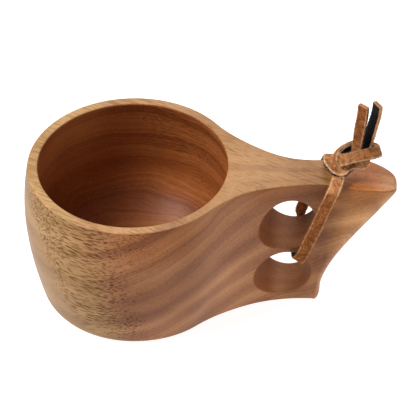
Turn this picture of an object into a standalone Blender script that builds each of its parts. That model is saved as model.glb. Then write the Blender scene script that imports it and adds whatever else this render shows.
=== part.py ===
"""A kuksa: a drinking cup carved from one block of wood, with a flat suede lace knotted
through its handle. Metres, +Z up. The origin is on the table, under the axis of the round
bowl, and the handle points along +X. The cup is symmetric about the XZ plane."""

import math

import bmesh
import bpy
from mathutils import Matrix, Vector

MM = 0.001


def mm(*values):
    return tuple(value * MM for value in values)


# The carved body. Four values are a profile's Bezier ordinates, from the base to the rim.
HEIGHT = 67.0 * MM
BOWL_RADII = mm(39.9, 45.6, 48.9, 44.3)
HANDLE_END = mm(80.6, 79.6, 100.6, 112.8)
HANDLE_HALF_WIDTHS = mm(8.4, 9.6, 10.4, 8.1)
WAIST_X = 78.0 * MM
WAIST_BLEND = 4.0 * MM
TAIL_FLARE = 2.1 * MM
TAIL_FLARE_RUN = 14.0 * MM
NOSE_AT_BASE, NOSE_AT_RIM = mm(2.5, 19.0)
SCOOP_DEPTH = 1.4 * MM
SCOOP_X = mm(44.0, 58.0, 80.0, 92.0)
NECK_RISE = 0.4 * MM
NECK_X = mm(38.0, 56.0)
TOP_SAG = 1.4 * MM
TOP_SAG_X = mm(44.0, 66.0, 86.0)
TAIL_DIP = 4.6 * MM
TAIL_DIP_X = mm(88.0, 111.0)
BOWL_BASE_EDGE, HANDLE_BASE_EDGE = mm(3.4, 1.0)
BASE_EDGE_X = mm(0.0, 50.0)
BOWL_TOP_EDGE, TAIL_SIDE_EDGE, TAIL_TIP_EDGE = mm(0.6, 1.0, 4.0)
TAIL_TOP_EDGE_X = mm(86.0, 104.0)
TAIL_EDGE_TURN = (0.0, 0.4)

# The turned hollow of the bowl.
WALL = 4.5 * MM
FLOOR = 8.0 * MM
FLOOR_CURVE_HEIGHT = 27.0 * MM
FLOOR_CURVE_POWER = 2.3

# The two finger holes through the handle, along Y: the X and Z of their axes.
HOLE_RADIUS = 12.2 * MM
HOLES = {"lower": mm(64.3, 17.3), "upper": mm(66.2, 44.2)}
HOLE_EDGE = 0.5 * MM

# The suede lace is a flat strip. Its loop lies in a plane that holds the Y direction and
# leans towards the tail of the handle, and it passes the lower hole at LOOP_FOOT. Loop and
# knot slide round the wall of that hole, so they turn about its axis.
LACE_WIDTH = 4.8 * MM
LACE_THICKNESS = 2.0 * MM
LOOP_PIVOT = Vector((HOLES["lower"][0], 0.0, HOLES["lower"][1]))
LOOP_FOOT = Vector(mm(70.2, 0.0, 25.0))
LOOP_LEAN = math.radians(17.4)
LEG_Y = 12.3 * MM
LOOP_BEND = 2.8 * MM
LOOP_TOP = 45.6 * MM
LOOP_END_Y = 4.0 * MM
KNOT_CENTRE = Vector(mm(92.0, 0.0, 74.6))
KNOT_RADII = mm(11.8, 7.8, 6.6)

# The lace's two ends stand up from the knot: each one's root and its lean towards +X. Their
# broad faces are turned about Z, and the right one stands behind the left.
TAILS = {
    "lace_tail_left": (Vector(mm(93.6, -1.5, 81.3)), math.radians(4.0)),
    "lace_tail_right": (Vector(mm(98.0, 1.5, 80.4)), math.radians(6.8)),
}
TAIL_TURN = math.radians(-28.0)
TAIL_GAP = 1.2 * MM
TAIL_LENGTH = 21.6 * MM

# How finely the solids are cut.
NOSE_STEPS, SIDE_STEPS, BOWL_STEPS = 6, 14, 20
WALL_STEPS, EDGE_STEPS, CAP_CELLS = 12, 3, 3
HOLLOW_SIDES, HOLLOW_FLOOR_STEPS, HOLLOW_WALL_STEPS = 56, 8, 6
HOLE_SIDES = 36
LOOP_BEND_STEPS = 5


def bezier(ordinates, t):
    """The value at t, from 0 to 1, of a cubic Bezier curve drawn over t."""
    a, b, c, d = ordinates
    u = 1.0 - t
    return a * u**3 + 3.0 * b * t * u * u + 3.0 * c * t * t * u + d * t**3


def ramp(low, high, value):
    """0 below low, 1 above high and a smooth step between."""
    u = min(max((value - low) / (high - low), 0.0), 1.0)
    return u * u * (3.0 - 2.0 * u)


def mix(a, b, share):
    return a + (b - a) * share


def lower_of(a, b, blend):
    """The smaller of two values, with a smooth turn from one to the other."""
    u = min(max(0.5 + (b - a) / (2.0 * blend), 0.0), 1.0)
    return mix(b, a, u) - blend * u * (1.0 - u)


class Outline:
    """The body's outline at one height: t is 0 at the base and 1 at the rim. Its half with
    y >= 0 runs round the handle's nose, along a concave side that meets the round bowl at a
    tangent, and round the bowl to its far side."""

    def __init__(self, t):
        self.t = t
        self.radius = bezier(BOWL_RADII, t)
        self.nose = mix(NOSE_AT_BASE, NOSE_AT_RIM, t * t)
        self.shoulder = bezier(HANDLE_END, t) - self.nose
        self.waist = lower_of(WAIST_X, self.shoulder, WAIST_BLEND)
        self.half = bezier(HANDLE_HALF_WIDTHS, t)
        reach = self.waist**2 + self.half**2 - self.radius**2
        self.fillet = reach / (2.0 * (self.radius - self.half))
        self.fillet_y = self.half + self.fillet
        self.join_angle = math.atan2(self.fillet_y, self.waist)
        self.join_x = self.radius * math.cos(self.join_angle)

    def side(self, x):
        """The handle's half width at x, between the bowl and the nose."""
        if x < self.waist:
            depth = math.sqrt(self.fillet**2 - (self.waist - x) ** 2)
            half = self.fillet_y - depth
        else:
            run = max(self.shoulder - self.waist, 0.1 * MM)
            flare = TAIL_FLARE * min(run / TAIL_FLARE_RUN, 1.0)
            half = self.half + flare * ramp(0.0, run, x - self.waist)
        along = ramp(SCOOP_X[0], SCOOP_X[1], x) * (1.0 - ramp(SCOOP_X[2], SCOOP_X[3], x))
        up = ramp(0.60, 0.88, self.t) * (1.0 - ramp(0.90, 1.0, self.t))
        return half - SCOOP_DEPTH * along * up

    def half_width(self, x):
        """The outline's y at x, wherever x is."""
        if x > self.shoulder:
            ahead = min((x - self.shoulder) / self.nose, 1.0)
            return self.side(self.shoulder) * math.sqrt(1.0 - ahead**2)
        if x < self.join_x:
            return math.sqrt(self.radius**2 - x * x)
        return self.side(x)

    def point(self, s):
        """A point of the half outline: s runs from 0 to 1 round the nose, to 2 along the
        side and to 3 round the bowl."""
        if s <= 1.0:
            angle = 0.5 * math.pi * s
            half = self.side(self.shoulder)
            return Vector((self.shoulder + self.nose * math.cos(angle), half * math.sin(angle)))
        if s <= 2.0:
            x = mix(self.shoulder, self.join_x, s - 1.0)
            return Vector((x, self.side(x)))
        angle = mix(self.join_angle, math.pi, s - 2.0)
        return Vector((self.radius * math.cos(angle), self.radius * math.sin(angle)))

    def outward(self, s):
        """The outline's unit normal at s."""
        if s in (0.0, 3.0):
            return Vector((1.0 - 2.0 * (s == 3.0), 0.0))
        step = 0.01
        along = self.point(min(s + step, 3.0)) - self.point(max(s - step, 0.0))
        return Vector((along.y, -along.x)).normalized()


def top_z(x):
    """The top sags a little along the handle and bends down round the tail."""
    start, middle, end = TOP_SAG_X
    sag = TOP_SAG * (ramp(start, middle, x) - 0.5 * ramp(middle, end, x))
    ahead = (x - TAIL_DIP_X[0]) / (TAIL_DIP_X[1] - TAIL_DIP_X[0])
    return HEIGHT - sag - TAIL_DIP * max(ahead, 0.0) ** 2


def bottom_z(x):
    return NECK_RISE * ramp(NECK_X[0], NECK_X[1], x)


def side_half_width(x, z):
    """The half width of the finished body at a place on the handle's side."""
    return Outline((z - bottom_z(x)) / (top_z(x) - bottom_z(x))).half_width(x)


def body_column(s):
    """The points of the body's surface at s, from the base's edge up to the top's."""
    top_x = Outline(1.0).point(s).x
    bottom_x = Outline(0.0).point(s).x
    high, low = top_z(top_x), bottom_z(bottom_x)
    tail_edge = mix(TAIL_TIP_EDGE, TAIL_SIDE_EDGE, ramp(*TAIL_EDGE_TURN, s))
    top_edge = mix(BOWL_TOP_EDGE, tail_edge, ramp(*TAIL_TOP_EDGE_X, top_x))
    bottom_edge = mix(BOWL_BASE_EDGE, HANDLE_BASE_EDGE, ramp(*BASE_EDGE_X, bottom_x))
    wall_low, wall_high = low + bottom_edge, high - top_edge
    places = []
    for i in range(EDGE_STEPS):
        angle = 0.5 * math.pi * (1.0 - i / EDGE_STEPS)
        places.append((wall_low - bottom_edge * math.sin(angle), bottom_edge * (1.0 - math.cos(angle))))
    for i in range(WALL_STEPS):
        places.append((mix(wall_low, wall_high, i / WALL_STEPS), 0.0))
    for i in range(EDGE_STEPS + 1):
        angle = 0.5 * math.pi * i / EDGE_STEPS
        places.append((wall_high + top_edge * math.sin(angle), top_edge * (1.0 - math.cos(angle))))
    points = []
    for z, inset in places:
        outline = Outline((z - low) / (high - low))
        place = outline.point(s) - outline.outward(s) * inset
        points.append(Vector((place.x, place.y, z)))
    return points


def mirrored(point):
    return Vector((point.x, -point.y, point.z))


def skin(mesh, rings):
    """Quads between neighbouring rings, each a closed list of vertices."""
    for lower, upper in zip(rings, rings[1:]):
        for i in range(len(lower)):
            j = (i + 1) % len(lower)
            mesh.faces.new((lower[i], lower[j], upper[j], upper[i]))


def cap(mesh, ring, cells):
    """Closes a ring that is symmetric about the XZ plane with rows of cells across it. The
    ring starts and, halfway round, turns back on that plane."""
    half = len(ring) // 2
    rows = [[ring[0]] * (cells + 1)]
    for i in range(1, half):
        left, right = ring[i], ring[-i]
        inner = [mesh.verts.new(left.co.lerp(right.co, k / cells)) for k in range(1, cells)]
        rows.append([left, *inner, right])
    rows.append([ring[half]] * (cells + 1))
    for row, after in zip(rows, rows[1:]):
        for k in range(cells):
            corners = dict.fromkeys((row[k], row[k + 1], after[k + 1], after[k]))
            mesh.faces.new(list(corners))


def finish_mesh(mesh, name, sharp_degrees=35.0):
    """Turns a bmesh into a new object of this name."""
    bmesh.ops.recalc_face_normals(mesh, faces=mesh.faces)
    data = bpy.data.meshes.new(name)
    mesh.to_mesh(data)
    mesh.free()
    data.shade_smooth()
    data.set_sharp_from_angle(angle=math.radians(sharp_degrees))
    obj = bpy.data.objects.new(name, data)
    bpy.context.scene.collection.objects.link(obj)
    return obj


def material(name, colour, roughness):
    made = bpy.data.materials.new(name)
    made.use_nodes = True
    shader = made.node_tree.nodes["Principled BSDF"]
    shader.inputs["Base Color"].default_value = (*colour, 1.0)
    shader.inputs["Roughness"].default_value = roughness
    shader.inputs["Metallic"].default_value = 0.0
    return made


def cut(body, cutter):
    """Subtracts a cutter, which stays in the scene as a hidden helper."""
    cutter.hide_render = True
    cutter.display_type = "WIRE"
    boolean = body.modifiers.new(cutter.name, "BOOLEAN")
    boolean.operation = "DIFFERENCE"
    boolean.solver = "EXACT"
    boolean.object = cutter


def carved_block():
    """The outside of the cup: a bowl that runs out into the handle."""
    stops = [i / NOSE_STEPS for i in range(NOSE_STEPS)]
    stops += [1.0 + i / SIDE_STEPS for i in range(SIDE_STEPS)]
    stops += [2.0 + i / BOWL_STEPS for i in range(BOWL_STEPS + 1)]
    half = [body_column(s) for s in stops]
    far = [[mirrored(point) for point in column] for column in half[-2:0:-1]]
    mesh = bmesh.new()
    rings = [[mesh.verts.new(point) for point in ring] for ring in zip(*half, *far)]
    skin(mesh, rings)
    cap(mesh, rings[0], CAP_CELLS)
    cap(mesh, rings[-1], CAP_CELLS)
    return finish_mesh(mesh, "cup_body")


def hollow_cutter():
    """The turned inside of the bowl, open above the rim."""
    profile = []
    for i in range(1, HOLLOW_FLOOR_STEPS + 1):
        angle = 0.5 * math.pi * i / HOLLOW_FLOOR_STEPS
        rise = 1.0 - math.cos(angle) ** (2.0 / FLOOR_CURVE_POWER)
        out = math.sin(angle) ** (2.0 / FLOOR_CURVE_POWER)
        z = FLOOR + FLOOR_CURVE_HEIGHT * rise
        profile.append((out * (bezier(BOWL_RADII, z / HEIGHT) - WALL), z))
    wall_start = profile[-1][1]
    for i in range(1, HOLLOW_WALL_STEPS + 1):
        z = mix(wall_start, HEIGHT, i / HOLLOW_WALL_STEPS)
        profile.append((bezier(BOWL_RADII, z / HEIGHT) - WALL, z))
    profile.append((profile[-1][0], HEIGHT + 5.0 * MM))
    mesh = bmesh.new()
    rings = []
    for radius, z in profile:
        angles = [2.0 * math.pi * i / HOLLOW_SIDES for i in range(HOLLOW_SIDES)]
        rings.append([mesh.verts.new((radius * math.cos(a), radius * math.sin(a), z)) for a in angles])
    skin(mesh, rings)
    mesh.faces.new(rings[0])
    mesh.faces.new(rings[-1])
    return finish_mesh(mesh, "hollow_cutter")


def hole_cutter(name, centre):
    """A finger hole along Y, widened where it breaks the handle's two curved sides."""
    mesh = bmesh.new()
    rings = []
    for out, ahead, far in ((1.6, 0.0, 1), (1.6, 0.6, 0), (0.0, -1.0, 0)):
        for_left, for_right = [], []
        for i in range(HOLE_SIDES):
            angle = 2.0 * math.pi * i / HOLE_SIDES
            turn = Vector((math.cos(angle), math.sin(angle)))
            rim = Vector(centre) + turn * HOLE_RADIUS
            place = rim + turn * out * HOLE_EDGE
            y = side_half_width(rim.x, rim.y) + ahead * HOLE_EDGE + far * 10.0 * MM
            for_left.append(Vector((place.x, -y, place.y)))
            for_right.append(Vector((place.x, y, place.y)))
        rings.append((for_left, for_right))
    order = [left for left, _ in rings] + [right for _, right in reversed(rings)]
    made = [[mesh.verts.new(point) for point in ring] for ring in order]
    skin(mesh, made)
    mesh.faces.new(made[0])
    mesh.faces.new(made[-1])
    return finish_mesh(mesh, f"{name}_hole_cutter")


def cup_body():
    body = carved_block()
    body.data.materials.append(material("wood", (0.50, 0.27, 0.13), 0.42))
    cut(body, hollow_cutter())
    for name, centre in HOLES.items():
        cut(body, hole_cutter(name, centre))
    return body


def quarter(centre, start_degrees, turn_degrees):
    """Points of an arc of the loop's bend radius about a centre in the loop's plane."""
    points = []
    for i in range(LOOP_BEND_STEPS + 1):
        angle = math.radians(start_degrees + turn_degrees * i / LOOP_BEND_STEPS)
        points.append(Vector(centre) + LOOP_BEND * Vector((math.cos(angle), math.sin(angle))))
    return points


def loop_route():
    """The lace's middle line in the loop's plane, as (y, height along the lean): from under
    the knot, down the near side, through the lower hole and up the far side."""
    inner = LEG_Y - LOOP_BEND
    near = [Vector((-LOOP_END_Y, LOOP_TOP))]
    near += quarter((-inner, LOOP_TOP - LOOP_BEND), 90.0, 90.0)
    near += quarter((-inner, LOOP_BEND), 180.0, 90.0)
    return near + [Vector((-point.x, point.y)) for point in reversed(near)]


def lace_loop(pivot):
    """The flat strip bent along its route: its width lies across the loop's plane."""
    route = loop_route()
    half_width, half_thickness = 0.5 * LACE_WIDTH, 0.5 * LACE_THICKNESS
    mesh = bmesh.new()
    sections = []
    for i, point in enumerate(route):
        along = (route[min(i + 1, len(route) - 1)] - route[max(i - 1, 0)]).normalized()
        aside = Vector((-along.y, along.x)) * half_thickness
        section = []
        for side, across in ((1, 1), (-1, 1), (-1, -1), (1, -1)):
            place = point + aside * side
            section.append(mesh.verts.new((across * half_width, place.x, place.y)))
        sections.append(section)
    skin(mesh, sections)
    mesh.faces.new(sections[0])
    mesh.faces.new(sections[-1])
    loop = finish_mesh(mesh, "lace_loop")
    loop.parent = pivot
    loop.location = LOOP_FOOT - LOOP_PIVOT
    loop.rotation_euler.y = LOOP_LEAN
    return loop


def lace_knot(pivot):
    """The knot's outer shape."""
    mesh = bmesh.new()
    bmesh.ops.create_uvsphere(mesh, u_segments=24, v_segments=14, radius=1.0)
    bmesh.ops.scale(mesh, vec=KNOT_RADII, verts=mesh.verts)
    knot = finish_mesh(mesh, "lace_knot", 180.0)
    knot.parent = pivot
    knot.location = KNOT_CENTRE - LOOP_PIVOT
    return knot


def lace_tail(name, pivot):
    """One free end of the lace. Its origin is where it leaves the knot and flexes."""
    root, lean = TAILS[name]
    mesh = bmesh.new()
    bmesh.ops.create_cube(mesh, size=1.0)
    bmesh.ops.scale(mesh, vec=(LACE_WIDTH, LACE_THICKNESS, TAIL_LENGTH), verts=mesh.verts)
    bmesh.ops.translate(mesh, vec=(0.0, 0.0, TAIL_GAP + 0.5 * TAIL_LENGTH), verts=mesh.verts)
    tail = finish_mesh(mesh, name)
    tail.parent = pivot
    tail.matrix_local = (
        Matrix.Translation(root - LOOP_PIVOT)
        @ Matrix.Rotation(lean, 4, "Y")
        @ Matrix.Rotation(TAIL_TURN, 4, "Z")
    )
    return tail


def main():
    for old in list(bpy.data.objects):
        bpy.data.objects.remove(old)
    cup_body()
    pivot = bpy.data.objects.new("lace_pivot", None)
    bpy.context.scene.collection.objects.link(pivot)
    pivot.location = LOOP_PIVOT
    suede = material("suede", (0.32, 0.13, 0.05), 0.9)
    pieces = [lace_loop(pivot), lace_knot(pivot)]
    pieces += [lace_tail(name, pivot) for name in TAILS]
    for piece in pieces:
        piece.data.materials.append(suede)


main()
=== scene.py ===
"""The looks of a kuksa: a drinking cup carved from one block of acacia, with a suede lace
knotted through its handle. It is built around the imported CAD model, in the same frame:
metres, +Z up, the bowl's axis at the origin and the handle along +X."""

import math
import random

import bmesh
import bpy
import numpy as np
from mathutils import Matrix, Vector, noise


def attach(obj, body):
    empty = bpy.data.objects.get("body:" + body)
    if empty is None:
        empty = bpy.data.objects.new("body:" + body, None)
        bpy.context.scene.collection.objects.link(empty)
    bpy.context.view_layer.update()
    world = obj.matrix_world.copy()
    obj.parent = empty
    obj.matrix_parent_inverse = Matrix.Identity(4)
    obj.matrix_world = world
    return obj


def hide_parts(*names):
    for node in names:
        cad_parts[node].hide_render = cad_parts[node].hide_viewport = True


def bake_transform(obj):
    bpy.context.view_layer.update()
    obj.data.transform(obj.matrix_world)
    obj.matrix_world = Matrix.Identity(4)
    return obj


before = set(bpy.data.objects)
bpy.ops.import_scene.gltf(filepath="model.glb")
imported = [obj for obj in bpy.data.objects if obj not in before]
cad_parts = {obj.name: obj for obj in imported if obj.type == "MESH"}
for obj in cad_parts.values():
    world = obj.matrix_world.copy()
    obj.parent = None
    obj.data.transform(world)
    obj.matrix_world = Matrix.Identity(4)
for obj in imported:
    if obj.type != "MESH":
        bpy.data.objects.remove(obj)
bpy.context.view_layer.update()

MM = 0.001


def mm(*values):
    return tuple(value * MM for value in values)


# The camera: how far round and above the cup it stands, and how far from the origin its axis
# passes, to the right, upwards in the picture and straight up.
CAMERA_AZIMUTH = math.radians(3.2)
CAMERA_ELEVATION = math.radians(41.34)
CAMERA_DISTANCE = 1.0
CAMERA_ASIDE, CAMERA_UP, CAMERA_LIFT = mm(31.58, 30.64, 1.3)
CAMERA_LENS_MM = 197.28
CAMERA_SENSOR_MM = 36.0
CAMERA_CLIP_START = 0.05

# The studio. Each light is a square softbox: its place, its side and its power.
LIGHTS = {
    "key_left": ((-0.62, -0.2, 0.85), 0.4, 10.0),
    "low_left": ((-0.95, -0.4, 0.3), 0.5, 2.0),
    "low_right": ((0.92, -0.4, 0.3), 0.5, 3.0),
    "back": ((0.15, 0.8, 0.8), 0.6, 6.0),
}
LIGHTS_FACE = Vector((0.03, 0.0, 0.04))
WORLD_STRENGTH = 0.2
FLOOR_HALF_SIDE = 3.0
FLOOR_GREY = 0.50
FLOOR_GLOW = 0.86
WHITE = (1.0, 1.0, 1.0, 1.0)

# The suede strip. Its brown nap is on the outside of the loop, its black finish inside.
STRAP_WIDTH = 4.8 * MM
STRAP_THICKNESS = 1.9 * MM
STRAP_CORNER = 0.38 * MM
STRAP_STEP = 0.4 * MM
CURVE_STEPS = 24
FACE_CUTS, CORNER_CUTS = 8, 6
# How far the strip's width wanders, as a share, and how rough its edges and faces are.
WIDTH_WANDER = 0.08
EDGE_ROUGHNESS = 0.10 * MM
FACE_ROUGHNESS = 0.07 * MM
# How fine these three are, in waves of noise per mm.
WANDER_FINENESS, EDGE_FINENESS, FACE_FINENESS = 0.9, 1.7, 0.8
FIBRE_ROOT = 0.15 * MM
FIBRE_LENGTH = 0.85 * MM
FIBRE_WIDTH = 0.18 * MM
EDGE_FIBRES, FACE_FIBRES = 9, 5
SLOTS = {"brown": 0, "edge": 1, "black": 2}

# The carved body. Four values are a profile's Bezier ordinates, from the base to the rim.
HEIGHT = 67.0 * MM
BOWL_RADII = mm(39.9, 45.6, 48.9, 44.3)
HANDLE_END = mm(80.6, 79.6, 100.6, 112.8)
HANDLE_HALF_WIDTHS = mm(8.4, 9.6, 10.4, 8.1)
WAIST_X = 78.0 * MM
WAIST_BLEND = 4.0 * MM
TAIL_FLARE = 2.1 * MM
TAIL_FLARE_RUN = 14.0 * MM
SHORTEST_FLARE = 0.1 * MM
NOSE_AT_BASE, NOSE_AT_RIM = mm(2.5, 19.0)
SCOOP_DEPTH = 1.4 * MM
SCOOP_X = mm(44.0, 58.0, 80.0, 92.0)
SCOOP_RISE, SCOOP_FALL = (0.60, 0.88), (0.90, 1.0)
NECK_RISE = 0.4 * MM
NECK_X = mm(38.0, 56.0)
TOP_SAG = 1.4 * MM
TOP_SAG_X = mm(44.0, 66.0, 86.0)
TAIL_DIP = 4.6 * MM
TAIL_DIP_X = mm(88.0, 111.0)
BOWL_BASE_EDGE, HANDLE_BASE_EDGE = mm(3.4, 1.0)
BASE_EDGE_X = mm(0.0, 50.0)
BOWL_TOP_EDGE, TAIL_SIDE_EDGE, TAIL_TIP_EDGE = mm(0.6, 1.0, 4.0)
TAIL_TOP_EDGE_X = mm(86.0, 104.0)
TAIL_EDGE_TURN = (0.0, 0.4)

# The turned hollow of the bowl.
WALL = 4.5 * MM
FLOOR = 8.0 * MM
FLOOR_CURVE_HEIGHT = 27.0 * MM
FLOOR_CURVE_POWER = 2.3
LIP = 0.7 * MM
LIP_TURN = math.radians(82.0)
# How far its cutter goes on outside the lip and, at two places, above the rim.
LIP_MARGIN = 0.3 * MM
CUT_MARGINS = mm(0.5, 5.0)

# The finger holes along Y: the X and Z of their axes.
HOLE_RADIUS = 12.2 * MM
HOLES = {"lower": mm(64.3, 17.3), "upper": mm(66.2, 44.2)}
HOLE_LIP = 0.9 * MM
HOLE_LIP_TURN = math.radians(84.0)
# Where their cutters start and pass the side, in lips: (widened by, inside the side by).
HOLE_CUT_STOPS = [(1.3, -12.0), (1.3, -0.4)]
HOLE_MIDDLE_SHARES = (0.25, 0.5, 0.75)
SHARP_ANGLE = math.radians(40.0)

# The wood's figure, with lengths in mm. Each ramp stop is a tone and its colour.
FIBRE_TURN = math.radians(-25.0)
FIBRE_SCALES = (0.16, 1.3, 1.3)
LAYER_RADIUS = 120.0
LAYER_LINE_Y = 15.0
LAYER_SLANT = -0.4
LAYER_DRIFT = 11.0
BAND_PERIOD = 14.0
BAND_START = 6.0
# The bands' two noises: the scale, the detail and the roughness of each.
UNEVEN_BANDS, NARROW_BANDS = (0.13, 2.0, 0.6), (0.8, 2.0, 0.6)
CLOUD_SCALES = (0.020, 0.035, 0.035)
CROWD_SCALES = (0.03, 0.03, 0.10)
ROSY_WOOD = [
    (0.0, (0.125, 0.038, 0.013)),
    (0.35, (0.200, 0.070, 0.025)),
    (0.62, (0.280, 0.110, 0.040)),
    (1.0, (0.390, 0.176, 0.072)),
]
TAN_WOOD = [
    (0.0, (0.125, 0.050, 0.014)),
    (0.35, (0.208, 0.094, 0.028)),
    (0.62, (0.285, 0.142, 0.046)),
    (1.0, (0.380, 0.212, 0.082)),
]
PORE_COLOUR = (0.075, 0.024, 0.005)
PORE_STRETCH, PORE_STRETCH_ON_TOP = 0.17, 0.06
PORES_ACROSS, PORES_UP = 1.5, 1.7
# Where they crowd, they are larger: the span of crowding and, over it, of a pore's radius as a
# share of its cell, then the span of its soft edge and how dark it is.
PORE_CROWDING, PORE_REACH = (0.32, 0.80), (0.10, 0.52)
PORE_EDGE, PORE_STRENGTH = (0.60, 1.0), 0.76
WOOD_RELIEF = 0.08 * MM

# Inside the bowl is what lies within a cone of these two radii at these two heights, in mm, and
# the span across its edge.
HOLLOW_Z, HOLLOW_RADII, HOLLOW_EDGE = (8.0, 30.0), (36.0, 42.4), (-0.4, 0.2)

# How far a surface faces along the fibres to be end grain, and upwards to be the top.
END_GRAIN_FACING, TOP_FACING = (0.45, 0.80), (0.55, 0.80)

# Where the wood's colour and its painted light and shade change, as spans in mm that a smooth
# step crosses. Some edges wander by so many mm per unit of noise and lean by so many mm per mm
# of height.
NEAR_SIDE_Y = (-12.0, 5.0)
TOP_Z = (54.0, 56.0)
YELLOW_X, YELLOW_WANDER, YELLOW_LEAN = (-17.0, 8.0), 30.0, 0.12
YELLOW_TOP_X = (84.0, 94.0)
SPECKLED_X, SPECKLED_Z = (-4.0, 19.0), (3.0, 13.0)
SMOOTH_END_X, SMOOTH_END_WANDER, SMOOTH_END_LEAN = (-27.0, -14.0), 14.0, 0.33
LEFT_FOOT_Z = (16.0, 44.0)
# The front of the bowl, where shade is painted.
FRONT_FROM_X, FRONT_TO_X = (-14.0, 0.0), (24.0, 40.0)
FRONT_FROM_Z, FRONT_TO_Z = (8.0, 22.0), (38.0, 50.0)
RIM_X = (12.0, 34.0)
UNDER_RIM_Z, UNDER_RIM_FROM_X, UNDER_RIM_TO_X = (44.0, 57.0), (-12.0, 6.0), (22.0, 42.0)
# The band under the handle's top edge, where shade is painted.
UNDER_EDGE_Z, UNDER_EDGE_X = (56.0, 60.5), (42.0, 56.0)
NECK_FROM_X, NECK_TO_X = (26.0, 44.0), (62.0, 74.0)
# The finger holes' walls, where shade is painted, and their tail halves, where light is painted.
HOLE_EDGE, HOLE_TAIL_X = (0.2, 0.8), (57.0, 64.0)
TAIL_X = (78.0, 92.0)
# The tip, and at its end a painted highlight.
TIP_X, TIP_END_X = (80.0, 92.0), (100.0, 108.0)
RIM_PORES_Z, RIM_PORES_X = (50.0, 60.0), (5.0, 35.0)
BOWL_PORES_Z, BOWL_PORES_X = (28.0, 50.0), (-10.0, 15.0)
BLUNT_PORES_Z = (38.0, 62.0)

# What each region's tint multiplies the wood's colour by: the wood's own tones, and in places
# painted light and shade.
TINTS_AND_PAINTED_LIGHT = {
    "inside": (1.10, 0.84, 0.58),
    # The finger holes: partly the wood's tone and partly painted shade, with painted light on their
    # tail halves.
    "tint and painted shade in a finger hole": (0.84, 0.66, 0.50),
    "painted light on a finger hole's tail half": (1.62, 2.15, 2.75),
    # The top and the rim are paler: partly the wood's tone, partly painted sheen.
    "top": (1.26, 1.28, 1.24),
    "rim": (1.36, 1.52, 1.90),
    "under the rim": (0.98, 0.84, 0.60),
    "neck": (1.18, 1.23, 1.30),
    "left side": (1.10, 1.18, 1.24),
    "left foot": (1.05, 1.10, 1.18),
    "smooth end": (0.86, 0.83, 0.82),
    # Painted shade on the front of the bowl, which faces away from the side lights.
    "painted_shade_front": (0.76, 0.69, 0.61),
    # Painted shade in the overhanging scoop under the handle's top edge.
    "painted shade under the handle's edge": (0.72, 0.56, 0.36),
    "tail's side": (1.42, 1.38, 1.30),
    "tip": (1.74, 1.46, 1.18),
    # A painted highlight at the end of the tip.
    "painted highlight at the tip's end": (1.10, 1.60, 2.60),
}

# Where painted light makes the lace lighter, as spans in mm: round the knot, lighter still at
# its shaded foot, and up the shaded far side of the handle.
PAINTED_LIGHT_FROM_Z, PAINTED_LIGHT_TO_Z = (60.0, 70.0), (81.0, 85.0)
PAINTED_LIGHT_FAR_Y = (12.0, 13.0)
KNOT_FOOT_Z = (71.0, 75.0)
KNOT_FOOT_PAINTED_LIGHT = (1.40, 1.50, 1.60)

# The nap: the scales of its clouds and of its fluff, and the tones where it is dark and light.
NAP_CLOUDS, NAP_FLUFF = 0.5, 3.3
DARK_TONE, LIGHT_TONE = 0.38, 0.64

# Each suede: its dark and light colour, its roughness, its relief and its tint of painted light.
SUEDES = {
    "suede_nap": ((0.070, 0.018, 0.0045), (0.43, 0.148, 0.043), 0.95, 0.4 * MM, (1.50, 1.85, 2.35)),
    "suede_cut_edge": ((0.26, 0.10, 0.035), (0.66, 0.34, 0.17), 0.95, 0.3 * MM, (1.15, 1.35, 1.5)),
    "suede_black_finish": ((0.006, 0.006, 0.007), (0.022, 0.021, 0.022), 0.6, 0.08 * MM),
}

# How finely the wood is cut.
NOSE_STEPS, SIDE_STEPS, BOWL_STEPS = 20, 44, 52
WALL_STEPS, EDGE_STEPS, CAP_CELLS = 46, 7, 14
HOLLOW_SIDES, HOLLOW_FLOOR_STEPS, HOLLOW_WALL_STEPS = 144, 22, 14
HOLE_SIDES, LIP_STEPS = 96, 6


# ---------------------------------------------------------------- camera


def add_camera():
    a, e = CAMERA_AZIMUTH, CAMERA_ELEVATION
    back = Vector((math.sin(a) * math.cos(e), -math.cos(a) * math.cos(e), math.sin(e)))
    right = Vector((math.cos(a), math.sin(a), 0.0))
    up = back.cross(right)
    data = bpy.data.cameras.new("camera")
    data.lens = CAMERA_LENS_MM
    data.sensor_width = CAMERA_SENSOR_MM
    data.clip_start = CAMERA_CLIP_START
    camera = bpy.data.objects.new("camera", data)
    place = right * CAMERA_ASIDE + up * CAMERA_UP + back * CAMERA_DISTANCE
    camera.location = place + Vector((0.0, 0.0, CAMERA_LIFT))
    camera.rotation_mode = "QUATERNION"
    camera.rotation_quaternion = (-back).to_track_quat("-Z", "Y")
    bpy.context.scene.collection.objects.link(camera)
    bpy.context.scene.camera = camera


def mesh_object(mesh, name):
    data = bpy.data.meshes.new(name)
    mesh.to_mesh(data)
    mesh.free()
    obj = bpy.data.objects.new(name, data)
    bpy.context.scene.collection.objects.link(obj)
    return obj


# ---------------------------------------------------------------- the lace


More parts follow.
